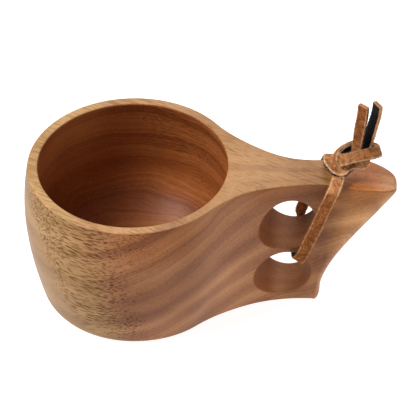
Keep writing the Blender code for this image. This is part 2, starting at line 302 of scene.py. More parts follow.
def strap_route(stops):
    """Places and outward normals along a strap, evenly spaced on a smooth curve through its
    stops. Each stop is a place in mm and the way the brown face looks there."""
    places = np.array([place for place, _ in stops], float) * MM
    looks = np.array([Vector(look).normalized() for _, look in stops], float)
    rows = np.hstack([places, looks])
    padded = np.vstack([2 * rows[0] - rows[1], rows, 2 * rows[-1] - rows[-2]])
    fine = []
    for before, start, end, after in zip(padded, padded[1:], padded[2:], padded[3:]):
        square = 2 * before - 5 * start + 4 * end - after
        cubic = 3 * (start - end) + after - before
        for t in np.linspace(0.0, 1.0, CURVE_STEPS, endpoint=False):
            bend = square + cubic * t
            fine.append(0.5 * (2 * start + (end - before) * t + bend * t * t))
    fine = np.array(fine + [rows[-1]])
    lengths = np.linalg.norm(np.diff(fine[:, :3], axis=0), axis=1)
    along = np.concatenate([[0], np.cumsum(lengths)])
    at = np.linspace(0.0, along[-1], math.ceil(along[-1] / STRAP_STEP) + 1)
    even = np.stack([np.interp(at, along, fine[:, k]) for k in range(6)], axis=1)
    return even[:, :3], even[:, 3:], at


def strap_section():
    """The strip's rounded section as (across, out, kind), and kind is brown, edge or black."""
    half_thick = 0.5 * STRAP_THICKNESS
    flat = 0.5 * STRAP_WIDTH - STRAP_CORNER
    section = []
    for way, face, edge_cuts in ((1.0, "brown", (1,)), (-1.0, "black", range(2, CORNER_CUTS))):
        for k in range(FACE_CUTS + 1):
            across = flat * (2.0 * k / FACE_CUTS - 1.0)
            section.append((way * across, way * half_thick, face))
        for k in range(1, CORNER_CUTS):
            angle = math.pi * k / CORNER_CUTS
            across = flat + STRAP_CORNER * math.sin(angle)
            kind = "edge" if k in edge_cuts else "black"
            section.append((way * across, way * half_thick * math.cos(angle), kind))
    return section


def strap_axes(places, looks, i):
    """The directions along, out of and across the strap at its point i."""
    ahead = places[min(i + 1, len(places) - 1)] - places[max(i - 1, 0)]
    along = Vector(ahead).normalized()
    out = Vector(looks[i])
    out = (out - along * out.dot(along)).normalized()
    return along, out, along.cross(out)


def add_fuzz(mesh, places, looks, chance):
    """Short pale fibres that stand out from the cut edges and from the brown face."""
    half_width, half_thick = 0.5 * STRAP_WIDTH, 0.5 * STRAP_THICKNESS
    for i in range(1, len(places) - 1):
        along, out, across = strap_axes(places, looks, i)
        for k in range(EDGE_FIBRES + FACE_FIBRES):
            if k < EDGE_FIBRES:
                side = chance.choice((-1.0, 1.0))
                root = across * (side * half_width)
                root += out * (half_thick * chance.uniform(0.1, 0.9))
                grow = across * side + out * chance.uniform(-0.4, 0.7)
            else:
                root = across * (half_width * chance.uniform(-0.95, 0.95)) + out * half_thick
                grow = out + across * chance.uniform(-1.2, 1.2)
            grow = (grow + along * chance.uniform(-1.0, 1.0)).normalized()
            root += Vector(places[i]) + along * (STRAP_STEP * chance.uniform(-0.5, 0.5))
            root -= grow * FIBRE_ROOT
            length = FIBRE_ROOT + FIBRE_LENGTH * chance.uniform(0.3, 1.0) ** 2
            flat = grow.cross(out + across * 0.3).normalized() * (0.5 * FIBRE_WIDTH)
            corners = (root - flat, root + flat, root + grow * length)
            face = mesh.faces.new([mesh.verts.new(corner) for corner in corners])
            face.material_index = SLOTS["edge"]


def strap(name, stops, materials, seed):
    """A suede strip along its stops. Its cut edges wander and its nap is uneven. Returns the
    object, the line that it follows and its length."""
    places, looks, at = strap_route(stops)
    section = strap_section()
    mesh = bmesh.new()
    uv = mesh.loops.layers.uv.new("strip")
    rings = []
    for i, (place, distance) in enumerate(zip(places, at / MM)):
        _, out, across = strap_axes(places, looks, i)
        ring = []
        for side, depth, kind in section:
            spot = Vector((distance, side / MM, depth / MM))
            fray = noise.noise(
                Vector((distance * WANDER_FINENESS, math.copysign(7.0, side) + seed, 3.1))
            )
            wide = side * (1.0 + WIDTH_WANDER * fray)
            if kind == "edge":
                fine = noise.noise(spot * EDGE_FINENESS + Vector((seed, 0.0, 0.0)))
                wide += math.copysign(EDGE_ROUGHNESS * fine, side)
            nap = noise.noise(spot * FACE_FINENESS + Vector((seed, 5.0, 0.0)))
            deep = depth + math.copysign(FACE_ROUGHNESS * nap, depth)
            ring.append(mesh.verts.new(Vector(place) + across * wide + out * deep))
        rings.append(ring)
    count = len(section)
    for i, (ring, after) in enumerate(zip(rings, rings[1:])):
        for k in range(count):
            j = (k + 1) % count
            face = mesh.faces.new((ring[k], ring[j], after[j], after[k]))
            kinds = {section[k][2], section[j][2]}
            face.material_index = SLOTS[kinds.pop() if len(kinds) == 1 else "edge"]
            face.smooth = True
            spots = ((at[i], k), (at[i], k + 1), (at[i + 1], k + 1), (at[i + 1], k))
            for loop, (distance, turn) in zip(face.loops, spots):
                loop[uv].uv = (distance / MM, turn / count)
    for ring in (rings[0][::-1], rings[-1]):
        mesh.faces.new(ring).material_index = SLOTS["edge"]
    bmesh.ops.recalc_face_normals(mesh, faces=mesh.faces)
    add_fuzz(mesh, places, looks, random.Random(seed))
    obj = mesh_object(mesh, name)
    for made in materials:
        obj.data.materials.append(made)
    return obj, [tuple(place) for place in places], float(at[-1])


# ---------------------------------------------------------------- the wooden body


def bezier(ordinates, t):
    """The value at t, from 0 to 1, of a cubic Bezier curve drawn over t."""
    a, b, c, d = ordinates
    u = 1.0 - t
    return a * u**3 + 3.0 * b * t * u * u + 3.0 * c * t * t * u + d * t**3


def ramp(low, high, value):
    """0 below low, 1 above high and a smooth step between."""
    u = min(max((value - low) / (high - low), 0.0), 1.0)
    return u * u * (3.0 - 2.0 * u)


def mix(a, b, share):
    return a + (b - a) * share


def lower_of(a, b, blend):
    """The smaller of two values, with a smooth turn from one to the other."""
    u = min(max(0.5 + (b - a) / (2.0 * blend), 0.0), 1.0)
    return mix(b, a, u) - blend * u * (1.0 - u)


class Outline:
    """The body's outline at one height: t is 0 at the base and 1 at the rim. Its half with
    y >= 0 runs round the handle's nose, along a concave side that meets the round bowl at a
    tangent, and round the bowl to its far side."""

    def __init__(self, t):
        self.t = t
        self.radius = bezier(BOWL_RADII, t)
        self.nose = mix(NOSE_AT_BASE, NOSE_AT_RIM, t * t)
        self.shoulder = bezier(HANDLE_END, t) - self.nose
        self.waist = lower_of(WAIST_X, self.shoulder, WAIST_BLEND)
        self.half = bezier(HANDLE_HALF_WIDTHS, t)
        reach = self.waist**2 + self.half**2 - self.radius**2
        self.fillet = reach / (2.0 * (self.radius - self.half))
        self.fillet_y = self.half + self.fillet
        self.join_angle = math.atan2(self.fillet_y, self.waist)
        self.join_x = self.radius * math.cos(self.join_angle)

    def side(self, x):
        """The handle's half width at x, between the bowl and the nose."""
        if x < self.waist:
            depth = math.sqrt(self.fillet**2 - (self.waist - x) ** 2)
            half = self.fillet_y - depth
        else:
            run = max(self.shoulder - self.waist, SHORTEST_FLARE)
            flare = TAIL_FLARE * min(run / TAIL_FLARE_RUN, 1.0)
            half = self.half + flare * ramp(0.0, run, x - self.waist)
        along = ramp(*SCOOP_X[:2], x) * (1.0 - ramp(*SCOOP_X[2:], x))
        up = ramp(*SCOOP_RISE, self.t) * (1.0 - ramp(*SCOOP_FALL, self.t))
        return half - SCOOP_DEPTH * along * up

    def half_width(self, x):
        """The outline's y at x, wherever x is."""
        if x > self.shoulder:
            ahead = min((x - self.shoulder) / self.nose, 1.0)
            return self.side(self.shoulder) * math.sqrt(1.0 - ahead**2)
        if x < self.join_x:
            return math.sqrt(self.radius**2 - x * x)
        return self.side(x)

    def point(self, s):
        """A point of the half outline: s runs from 0 to 1 round the nose, to 2 along the
        side and to 3 round the bowl."""
        if s <= 1.0:
            angle = 0.5 * math.pi * s
            half = self.side(self.shoulder)
            return Vector((self.shoulder + self.nose * math.cos(angle), half * math.sin(angle)))
        if s <= 2.0:
            x = mix(self.shoulder, self.join_x, s - 1.0)
            return Vector((x, self.side(x)))
        angle = mix(self.join_angle, math.pi, s - 2.0)
        return Vector((self.radius * math.cos(angle), self.radius * math.sin(angle)))

    def outward(self, s):
        """The outline's unit normal at s."""
        if s in (0.0, 3.0):
            return Vector((1.0 - 2.0 * (s == 3.0), 0.0))
        step = 0.01
        along = self.point(min(s + step, 3.0)) - self.point(max(s - step, 0.0))
        return Vector((along.y, -along.x)).normalized()


def top_z(x):
    """The top sags a little along the handle and bends down round the tail."""
    start, middle, end = TOP_SAG_X
    sag = TOP_SAG * (ramp(start, middle, x) - 0.5 * ramp(middle, end, x))
    dip_start, dip_end = TAIL_DIP_X
    ahead = (x - dip_start) / (dip_end - dip_start)
    return HEIGHT - sag - TAIL_DIP * max(ahead, 0.0) ** 2


def bottom_z(x):
    """The base rises a little under the neck and the handle."""
    return NECK_RISE * ramp(*NECK_X, x)


def side_half_width(x, z):
    """The half width of the finished body at a place on the handle's side."""
    return Outline((z - bottom_z(x)) / (top_z(x) - bottom_z(x))).half_width(x)


def body_column(s):
    """The points of the body's surface at s, from the base's edge up to the top's."""
    top_x = Outline(1.0).point(s).x
    bottom_x = Outline(0.0).point(s).x
    high, low = top_z(top_x), bottom_z(bottom_x)
    tail_edge = mix(TAIL_TIP_EDGE, TAIL_SIDE_EDGE, ramp(*TAIL_EDGE_TURN, s))
    top_edge = mix(BOWL_TOP_EDGE, tail_edge, ramp(*TAIL_TOP_EDGE_X, top_x))
    bottom_edge = mix(BOWL_BASE_EDGE, HANDLE_BASE_EDGE, ramp(*BASE_EDGE_X, bottom_x))
    wall_low, wall_high = low + bottom_edge, high - top_edge
    places = []
    for i in range(EDGE_STEPS):
        angle = 0.5 * math.pi * (1.0 - i / EDGE_STEPS)
        z = wall_low - bottom_edge * math.sin(angle)
        places.append((z, bottom_edge * (1.0 - math.cos(angle))))
    for i in range(WALL_STEPS):
        places.append((mix(wall_low, wall_high, i / WALL_STEPS), 0.0))
    for i in range(EDGE_STEPS + 1):
        angle = 0.5 * math.pi * i / EDGE_STEPS
        z = wall_high + top_edge * math.sin(angle)
        places.append((z, top_edge * (1.0 - math.cos(angle))))
    points = []
    for z, inset in places:
        outline = Outline((z - low) / (high - low))
        place = outline.point(s) - outline.outward(s) * inset
        points.append(Vector((place.x, place.y, z)))
    return points


def skin(mesh, rings):
    """Quads between neighbouring rings, each a closed list of vertices."""
    for lower, upper in zip(rings, rings[1:]):
        for i in range(len(lower)):
            j = (i + 1) % len(lower)
            mesh.faces.new((lower[i], lower[j], upper[j], upper[i]))


def cap(mesh, ring, cells):
    """Closes a ring that is symmetric about the XZ plane with rows of cells across it."""
    half = len(ring) // 2
    rows = [[ring[0]] * (cells + 1)]
    for i in range(1, half):
        left, right = ring[i], ring[-i]
        inner = [mesh.verts.new(left.co.lerp(right.co, k / cells)) for k in range(1, cells)]
        rows.append([left, *inner, right])
    rows.append([ring[half]] * (cells + 1))
    for row, after in zip(rows, rows[1:]):
        for k in range(cells):
            corners = dict.fromkeys((row[k], row[k + 1], after[k + 1], after[k]))
            mesh.faces.new(list(corners))


def finish_mesh(mesh, name):
    bmesh.ops.recalc_face_normals(mesh, faces=mesh.faces)
    return mesh_object(mesh, name)


def carved_block():
    """The outside of the cup: a bowl that runs out into the handle."""
    stops = [i / NOSE_STEPS for i in range(NOSE_STEPS)]
    stops += [1.0 + i / SIDE_STEPS for i in range(SIDE_STEPS)]
    stops += [2.0 + i / BOWL_STEPS for i in range(BOWL_STEPS + 1)]
    half = [body_column(s) for s in stops]
    far = [[Vector((p.x, -p.y, p.z)) for p in column] for column in half[-2:0:-1]]
    mesh = bmesh.new()
    rings = [[mesh.verts.new(point) for point in ring] for ring in zip(*half, *far)]
    skin(mesh, rings)
    cap(mesh, rings[0], CAP_CELLS)
    cap(mesh, rings[-1], CAP_CELLS)
    return finish_mesh(mesh, "kuksa_wood")


def hollow_profile():
    """Radius and height up the inside of the bowl, with a rounded lip at the rim."""
    profile = []
    for i in range(1, HOLLOW_FLOOR_STEPS + 1):
        angle = 0.5 * math.pi * i / HOLLOW_FLOOR_STEPS
        rise = 1.0 - math.cos(angle) ** (2.0 / FLOOR_CURVE_POWER)
        out = math.sin(angle) ** (2.0 / FLOOR_CURVE_POWER)
        z = FLOOR + FLOOR_CURVE_HEIGHT * rise
        profile.append((out * (bezier(BOWL_RADII, z / HEIGHT) - WALL), z))
    wall_start = profile[-1][1]
    lip_start = HEIGHT - LIP
    for i in range(1, HOLLOW_WALL_STEPS + 1):
        z = mix(wall_start, lip_start, i / HOLLOW_WALL_STEPS)
        profile.append((bezier(BOWL_RADII, z / HEIGHT) - WALL, z))
    inner = profile[-1][0]
    for i in range(1, LIP_STEPS + 1):
        angle = LIP_TURN * i / LIP_STEPS
        profile.append((inner + LIP * (1.0 - math.cos(angle)), lip_start + LIP * math.sin(angle)))
    outer = profile[-1][0] + LIP_MARGIN
    profile += [(outer, HEIGHT + CUT_MARGINS[0]), (outer, HEIGHT + CUT_MARGINS[1])]
    return profile


def hollow_cutter():
    angles = [2.0 * math.pi * i / HOLLOW_SIDES for i in range(HOLLOW_SIDES)]
    mesh = bmesh.new()
    rings = []
    for radius, z in hollow_profile():
        circle = [(radius * math.cos(angle), radius * math.sin(angle), z) for angle in angles]
        rings.append([mesh.verts.new(place) for place in circle])
    skin(mesh, rings)
    lowest = [edge for edge in mesh.edges if edge.is_boundary and edge.verts[0].co.z < 0.5 * HEIGHT]
    bmesh.ops.triangle_fill(mesh, use_beauty=True, edges=lowest)
    mesh.faces.new(rings[-1])
    return finish_mesh(mesh, "hollow_cutter")


def hole_cutter(name, centre):
    """A finger hole along Y whose rounded lips follow the handle's two curved sides."""
    mesh = bmesh.new()
    # Each stop is (how far the hole is widened, how far the stop lies inside the side), in lips.
    stops = list(HOLE_CUT_STOPS)
    for i in range(LIP_STEPS + 1):
        angle = HOLE_LIP_TURN * (1.0 - i / LIP_STEPS)
        stops.append((1.0 - math.cos(angle), 1.0 - math.sin(angle)))
    rings = []
    for wide, inside in stops:
        left, right = [], []
        for i in range(HOLE_SIDES):
            angle = 2.0 * math.pi * i / HOLE_SIDES
            turn = Vector((math.cos(angle), math.sin(angle)))
            rim = Vector(centre) + turn * (HOLE_RADIUS + HOLE_LIP)
            place = Vector(centre) + turn * (HOLE_RADIUS + wide * HOLE_LIP)
            y = side_half_width(rim.x, rim.y) - inside * HOLE_LIP
            left.append(Vector((place.x, -y, place.y)))
            right.append(Vector((place.x, y, place.y)))
        rings.append((left, right))
    order = [left for left, _ in rings]
    last_left, last_right = rings[-1]
    for share in HOLE_MIDDLE_SHARES:
        order.append([a.lerp(b, share) for a, b in zip(last_left, last_right)])
    order += [right for _, right in reversed(rings)]
    made = [[mesh.verts.new(point) for point in ring] for ring in order]
    skin(mesh, made)
    mesh.faces.new(made[0])
    mesh.faces.new(made[-1])
    return finish_mesh(mesh, f"{name}_hole_cutter")


def carve(body, cutters):
    """Takes the cutters away from the body, for good, and shades it smooth."""
    for cutter in cutters:
        boolean = body.modifiers.new(cutter.name, "BOOLEAN")
        boolean.operation = "DIFFERENCE"
        boolean.solver = "EXACT"
        boolean.object = cutter
    graph = bpy.context.evaluated_depsgraph_get()
    data = bpy.data.meshes.new_from_object(body.evaluated_get(graph))
    body.modifiers.clear()
    body.data = data
    for cutter in cutters:
        bpy.data.objects.remove(cutter)
    data.shade_smooth()
    data.set_sharp_from_angle(angle=SHARP_ANGLE)
    weighted = body.modifiers.new("weighted_normals", "WEIGHTED_NORMAL")
    weighted.keep_sharp = True


# ---------------------------------------------------------------- materials


class Graph:
    """A material's nodes, written as expressions."""

    def __init__(self, name):
        self.material = bpy.data.materials.new(name)
        self.material.use_nodes = True
        self.tree = self.material.node_tree
        self.shader = self.tree.nodes["Principled BSDF"]

    def node(self, kind, settings=(), **inputs):
        made = self.tree.nodes.new(kind)
        for name, value in dict(settings).items():
            setattr(made, name, value)
        for name, value in inputs.items():
            self.put(made.inputs[name.replace("_", " ")], value)
        return made

    def put(self, socket, value):
        if isinstance(value, bpy.types.NodeSocket):
            self.tree.links.new(value, socket)
        else:
            socket.default_value = value

    def math(self, operation, *values):
        made = self.tree.nodes.new("ShaderNodeMath")
        made.operation = operation
        for socket, value in zip(made.inputs, values):
            self.put(socket, value)
        return made.outputs[0]

    def vector(self, operation, *values):
        made = self.tree.nodes.new("ShaderNodeVectorMath")
        made.operation = operation
        for socket, value in zip(made.inputs, values):
            self.put(socket, value)
        return made.outputs[0]

    def scaled(self, vector, x, y, z):
        return self.vector("MULTIPLY", vector, (x, y, z))

    def joined(self, x, y, z):
        made = self.tree.nodes.new("ShaderNodeCombineXYZ")
        for socket, value in zip(made.inputs, (x, y, z)):
            self.put(socket, value)
        return made.outputs["Vector"]

    def split(self, vector):
        made = self.node("ShaderNodeSeparateXYZ", Vector=vector)
        return made.outputs["X"], made.outputs["Y"], made.outputs["Z"]

    def vector_length(self, vector):
        made = self.tree.nodes.new("ShaderNodeVectorMath")
        made.operation = "LENGTH"
        self.put(made.inputs[0], vector)
        return made.outputs["Value"]

    def hole_share(self, x, z, centre):
        """1 in a finger hole, whose axis runs along Y, and 0 outside it."""
        aside = self.math("SUBTRACT", x, centre[0] / MM)
        above = self.math("SUBTRACT", z, centre[1] / MM)
        distance = self.vector_length(self.joined(aside, above, 0.0))
        return self.fall(distance, *(HOLE_RADIUS / MM + margin for margin in HOLE_EDGE))

    def times(self, *factors):
        """The product of the factors."""
        product = factors[0]
        for factor in factors[1:]:
            product = self.math("MULTIPLY", product, factor)
        return product

    def line(self, value, slope, start):
        """The start plus the slope times the value."""
        return self.math("MULTIPLY_ADD", value, slope, start)

    def without(self, share):
        """1 less the share."""
        return self.math("SUBTRACT", 1.0, share)

    def damped(self, value, share, strength):
        """The value, weakened by the strength where the share is 1."""
        return self.times(value, self.line(share, -strength, 1.0))

    def mapped(self, curve, value, low, high, start, end):
        made = self.tree.nodes.new("ShaderNodeMapRange")
        made.interpolation_type = curve
        sockets = ("Value", "From Min", "From Max", "To Min", "To Max")
        for name, given in zip(sockets, (value, low, high, start, end)):
            self.put(made.inputs[name], given)
        return made.outputs["Result"]

    def straight(self, value, low, high, start, end):
        """start below low, end above high and a straight line between."""
        return self.mapped("LINEAR", value, low, high, start, end)

    def step(self, value, low, high, start=0.0, end=1.0):
        """start below low, end above high and a smooth step between."""
        return self.mapped("SMOOTHSTEP", value, low, high, start, end)

    def fall(self, value, low, high):
        """1 below low, 0 above high and a smooth step between."""
        return self.step(value, low, high, 1.0, 0.0)

    def noise(self, vector, scale=1.0, detail=2.0, roughness=0.5):
        return self.node(
            "ShaderNodeTexNoise", Vector=vector, Scale=scale, Detail=detail, Roughness=roughness
        )

    def noise_along(self, value, scale, detail, roughness):
        """Noise that changes with one value alone, centred on 0."""
        settings = {"noise_dimensions": "1D"}
        made = self.node(
            "ShaderNodeTexNoise", settings, W=value, Scale=scale, Detail=detail, Roughness=roughness
        )
        return self.math("SUBTRACT", made.outputs["Fac"], 0.5)

    def ramp(self, value, stops):
        made = self.tree.nodes.new("ShaderNodeValToRGB")
        self.put(made.inputs["Fac"], value)
        elements = made.color_ramp.elements
        while len(elements) < len(stops):
            elements.new(0.5)
        for element, (place, colour) in zip(elements, stops):
            element.position = place
            element.color = (*colour, 1.0)
        return made.outputs["Color"]

    def mixed(self, share, a, b, how="MIX"):
        made = self.tree.nodes.new("ShaderNodeMix")
        made.data_type = "RGBA"
        made.blend_type = how
        self.put(made.inputs["Factor"], share)
        for socket, value in ((made.inputs[6], a), (made.inputs[7], b)):
            self.put(socket, value if isinstance(value, bpy.types.NodeSocket) else (*value, 1.0))
        return made.outputs[2]

    def bump(self, height, distance, strength):
        made = self.node("ShaderNodeBump", Strength=strength, Distance=distance, Height=height)
        return made.outputs["Normal"]

    def millimetres(self):
        """The place in the object's own frame, in millimetres."""
        place = self.tree.nodes.new("ShaderNodeTexCoord").outputs["Object"]
        return self.scaled(place, 1.0 / MM, 1.0 / MM, 1.0 / MM)


def wood():
    """Oiled acacia. Its fibres run level, 25 degrees off the handle's direction. Growth layers
    cross the near side on a slant and lie level on the far side. Away from the handle the
    outside is yellower and full of pores, but smooth at the very end. The top of the handle's
    tip is redder."""
    g = Graph("acacia")
    place = g.millimetres()
    x, y, z = g.split(place)
    normal = g.tree.nodes.new("ShaderNodeTexCoord").outputs["Normal"]
    normal_x, normal_y, normal_z = g.split(normal)
    cloud = g.noise(g.scaled(place, *CLOUD_SCALES))
    patch = g.math("SUBTRACT", cloud.outputs["Fac"], 0.5)
    drift = g.math("SUBTRACT", g.split(cloud.outputs["Color"])[2], 0.5)

    # The fibres' direction, and how far a surface cuts across them.
    fibre_x, fibre_y = math.cos(FIBRE_TURN), math.sin(FIBRE_TURN)
    along = g.line(x, fibre_x, g.times(y, fibre_y))
    across = g.line(y, fibre_x, g.times(x, -fibre_y))
    facing = g.line(normal_x, fibre_x, g.times(normal_y, fibre_y))
    end_grain = g.step(g.math("ABSOLUTE", facing), *END_GRAIN_FACING)

    # Growth layers: shells round a level line on the near side, level on the far side.
    near = g.fall(y, *NEAR_SIDE_Y)
    height = g.line(g.times(near, x), LAYER_SLANT, z)
    height = g.line(drift, LAYER_DRIFT, g.math("ADD", height, LAYER_RADIUS))
    ahead = g.times(near, g.math("ADD", y, LAYER_LINE_Y))
    squares = g.line(height, height, g.times(ahead, ahead))
    layer = g.math("SUBTRACT", g.math("SQRT", squares), LAYER_RADIUS)

    # Where on the cup a place is, each from 0 to 1.
    top = g.times(g.step(normal_z, *TOP_FACING), g.step(z, *TOP_Z))
    side = g.without(top)
    radius = g.vector_length(g.joined(x, y, 0.0))
    beyond = g.math("SUBTRACT", radius, g.straight(z, *HOLLOW_Z, *HOLLOW_RADII))
    inside = g.times(g.fall(beyond, *HOLLOW_EDGE), side)
    outside = g.without(inside)
    in_hole = g.math("MAXIMUM", *(g.hole_share(x, z, centre) for centre in HOLES.values()))
    from_left = g.line(patch, YELLOW_WANDER, g.line(z, YELLOW_LEAN, x))
    left = g.fall(from_left, *YELLOW_X)
    speckled = g.times(g.fall(from_left, *SPECKLED_X), g.step(z, *SPECKLED_Z, 0.45, 1.0))
    from_end = g.line(patch, SMOOTH_END_WANDER, g.line(z, SMOOTH_END_LEAN, x))
    smooth = g.times(g.fall(from_end, *SMOOTH_END_X), outside, side)
    tail = g.step(x, *TAIL_X)
    tip = g.times(top, g.step(x, *TIP_X))
    left_side = g.times(left, side)
    near_side = g.times(side, near)
    # The front of the bowl, where shade is painted.
    painted_shade_front = g.times(g.step(x, *FRONT_FROM_X), g.fall(x, *FRONT_TO_X), near)
    painted_shade_front = g.times(painted_shade_front, g.math("SUBTRACT", side, inside))
    painted_shade_front = g.times(painted_shade_front, g.step(z, *FRONT_FROM_Z), g.fall(z, *FRONT_TO_Z))
    under_rim = g.times(g.step(z, *UNDER_RIM_Z), near_side)
    under_rim = g.times(under_rim, g.step(x, *UNDER_RIM_FROM_X), g.fall(x, *UNDER_RIM_TO_X))
    # The scoop under the handle's top edge, where shade is painted.
    painted_shade_under_edge = g.times(g.step(z, *UNDER_EDGE_Z), near_side, g.step(x, *UNDER_EDGE_X))

    # Light and dark: soft bands along the layers, fine streaks along the fibres.
    wave = g.times(g.math("SUBTRACT", layer, BAND_START), 2.0 * math.pi / BAND_PERIOD)
    uneven = g.noise_along(layer, *UNEVEN_BANDS)
    narrow = g.noise_along(g.math("ADD", layer, 40.0), *NARROW_BANDS)
    crisp = g.line(inside, 0.35, 0.36)
    bands = g.line(uneven, 0.64, g.times(narrow, crisp))
    bands = g.line(g.math("COSINE", wave), -0.15, bands)
    bands = g.times(bands, g.line(left, -0.6, 1.15))
    bands = g.damped(g.damped(bands, top, 0.55), in_hole, 0.75)
    fibre_place = g.scaled(g.joined(along, across, layer), *FIBRE_SCALES)
    fibre = g.noise(fibre_place, detail=3.0, roughness=0.65)
    fibre = g.math("SUBTRACT", fibre.outputs["Fac"], 0.5)
    tone = g.line(fibre, 0.72, g.math("ADD", bands, g.line(patch, 0.9, 0.53)))

    # The colour: rosy or tan wood, multiplied by each region's tint, which in places is painted
    # light and shade.
    yellow = g.times(top, g.step(x, *YELLOW_TOP_X, 0.6, 0.0))
    yellow = g.math("MAXIMUM", yellow, g.times(tail, side, 0.5))
    yellow = g.math("MAXIMUM", yellow, g.times(left, outside))
    colour = g.mixed(yellow, g.ramp(tone, ROSY_WOOD), g.ramp(tone, TAN_WOOD))
    regions = {
        "inside": inside,
        # Painted shade in the finger holes, partly the wood's tone, and painted light on their tail
        # halves.
        "tint and painted shade in a finger hole": in_hole,
        "painted light on a finger hole's tail half": g.times(in_hole, g.step(x, *HOLE_TAIL_X)),
        # Paler tops and rim: partly the wood's tone, partly painted sheen.
        "top": top,
        "rim": g.times(top, g.fall(x, *RIM_X)),
        "under the rim": under_rim,
        "neck": g.times(g.step(x, *NECK_FROM_X), g.fall(x, *NECK_TO_X)),
        "left side": left_side,
        "left foot": g.times(left_side, g.fall(z, *LEFT_FOOT_Z)),
        "smooth end": smooth,
        "painted_shade_front": painted_shade_front,
        "painted shade under the handle's edge": painted_shade_under_edge,
        "tail's side": g.times(tail, side),
        "tip": tip,
        # A painted highlight at the end of the tip.
        "painted highlight at the tip's end": g.times(tip, g.step(x, *TIP_END_X)),
    }
    for region, share in regions.items():
        tinted = g.mixed(1.0, colour, TINTS_AND_PAINTED_LIGHT[region], "MULTIPLY")
        colour = g.mixed(share, colour, tinted)

    # Pores: short dark dashes along the fibres, longer and fainter on top.
    pore_place = g.joined(
        g.times(along, g.line(top, PORE_STRETCH_ON_TOP - PORE_STRETCH, PORE_STRETCH)),
        g.times(across, PORES_ACROSS),
        g.times(g.line(drift, 5.0, z), PORES_UP),
    )
    cells = g.node("ShaderNodeTexVoronoi", {"feature": "F1"}, Vector=pore_place, Scale=1.0)
    at_rim = g.times(g.step(z, *RIM_PORES_Z), g.step(x, *RIM_PORES_X, 0.7, 0.0))
    in_bowl = g.times(inside, g.step(x, *BOWL_PORES_X, -0.4, 0.75), g.step(z, *BOWL_PORES_Z))
    porous = g.math("MAXIMUM", at_rim, g.times(top, 0.45))
    porous = g.math("MAXIMUM", g.times(speckled, outside), porous)
    porous = g.math("ADD", porous, in_bowl)
    crowd = g.noise(g.scaled(place, *CROWD_SCALES), roughness=0.6).outputs["Fac"]
    crowd = g.line(porous, 0.38, g.math("SUBTRACT", crowd, 0.10))
    crowd = g.line(smooth, -0.42, crowd)
    reach = g.step(crowd, *PORE_CROWDING, *PORE_REACH)
    pore = g.fall(g.math("DIVIDE", cells.outputs["Distance"], reach), *PORE_EDGE)
    pore = g.damped(g.damped(g.damped(pore, inside, 0.35), top, 0.55), in_hole, 0.9)
    blunt = g.times(end_grain, g.step(z, *BLUNT_PORES_Z, 0.8, 0.5))
    pore = g.times(pore, g.without(g.math("MAXIMUM", blunt, g.times(smooth, 0.75))))
    colour = g.mixed(g.times(pore, PORE_STRENGTH), colour, PORE_COLOUR)
    g.put(g.shader.inputs["Base Color"], colour)

    rough = g.line(fibre, 0.16, g.line(in_hole, 0.2, 0.45))
    g.put(g.shader.inputs["Roughness"], g.line(pore, 0.25, rough))
    g.put(g.shader.inputs["Specular IOR Level"], g.line(pore, -0.18, 0.22))
    relief = g.line(pore, -1.0, g.times(fibre, 0.5))
    g.put(g.shader.inputs["Normal"], g.bump(relief, WOOD_RELIEF, 0.7))
    return g.material


def suede(name, dark, light, rough, relief, painted_light_tint=(1.0, 1.0, 1.0)):
    """Split leather with a short uneven nap, whose colour is multiplied by painted_light_tint as
    painted light round the knot and up the shaded far side of the handle."""
    g = Graph(name)
    place = g.millimetres()
    _, y, z = g.split(place)
    cloud = g.math("SUBTRACT", g.noise(place, NAP_CLOUDS).outputs["Fac"], 0.5)
    fluff = g.noise(place, NAP_FLUFF, detail=4.0, roughness=0.8).outputs["Fac"]
    colour = g.ramp(g.line(cloud, 0.4, fluff), [(DARK_TONE, dark), (LIGHT_TONE, light)])
    # Painted light: lighter round the knot and up the far side, lighter still at the knot's foot.
    painted_light = g.times(g.step(z, *PAINTED_LIGHT_FROM_Z), g.fall(z, *PAINTED_LIGHT_TO_Z))
    painted_light = g.math("MAXIMUM", painted_light, g.step(y, *PAINTED_LIGHT_FAR_Y))
    foot = g.times(painted_light, g.fall(z, *KNOT_FOOT_Z))
    for share, tint in ((painted_light, painted_light_tint), (foot, KNOT_FOOT_PAINTED_LIGHT)):
        colour = g.mixed(share, colour, g.mixed(1.0, colour, tint, "MULTIPLY"))
    g.put(g.shader.inputs["Base Color"], colour)
    g.shader.inputs["Roughness"].default_value = rough
    g.shader.inputs["Specular IOR Level"].default_value = 0.08
    g.put(g.shader.inputs["Normal"], g.bump(fluff, relief, 0.9))
    return g.material


# ---------------------------------------------------------------- the stage


def add_stage():
    bpy.context.scene.view_settings.view_transform = "Standard"
    floor_material = bpy.data.materials.new("stage_floor")
    floor_material.use_nodes = True
    shader = floor_material.node_tree.nodes["Principled BSDF"]
    shader.inputs["Base Color"].default_value = (FLOOR_GREY, FLOOR_GREY, FLOOR_GREY, 1.0)
    shader.inputs["Roughness"].default_value = 0.9
    shader.inputs["Emission Color"].default_value = WHITE
    shader.inputs["Emission Strength"].default_value = FLOOR_GLOW
    mesh = bmesh.new()
    bmesh.ops.create_grid(mesh, x_segments=1, y_segments=1, size=FLOOR_HALF_SIDE)
    floor = finish_mesh(mesh, "stage_floor")
    floor.data.materials.append(floor_material)
    world = bpy.data.worlds.new("studio")
    world.use_nodes = True
    background = world.node_tree.nodes["Background"]
    background.inputs["Color"].default_value = WHITE
    background.inputs["Strength"].default_value = WORLD_STRENGTH
    bpy.context.scene.world = world


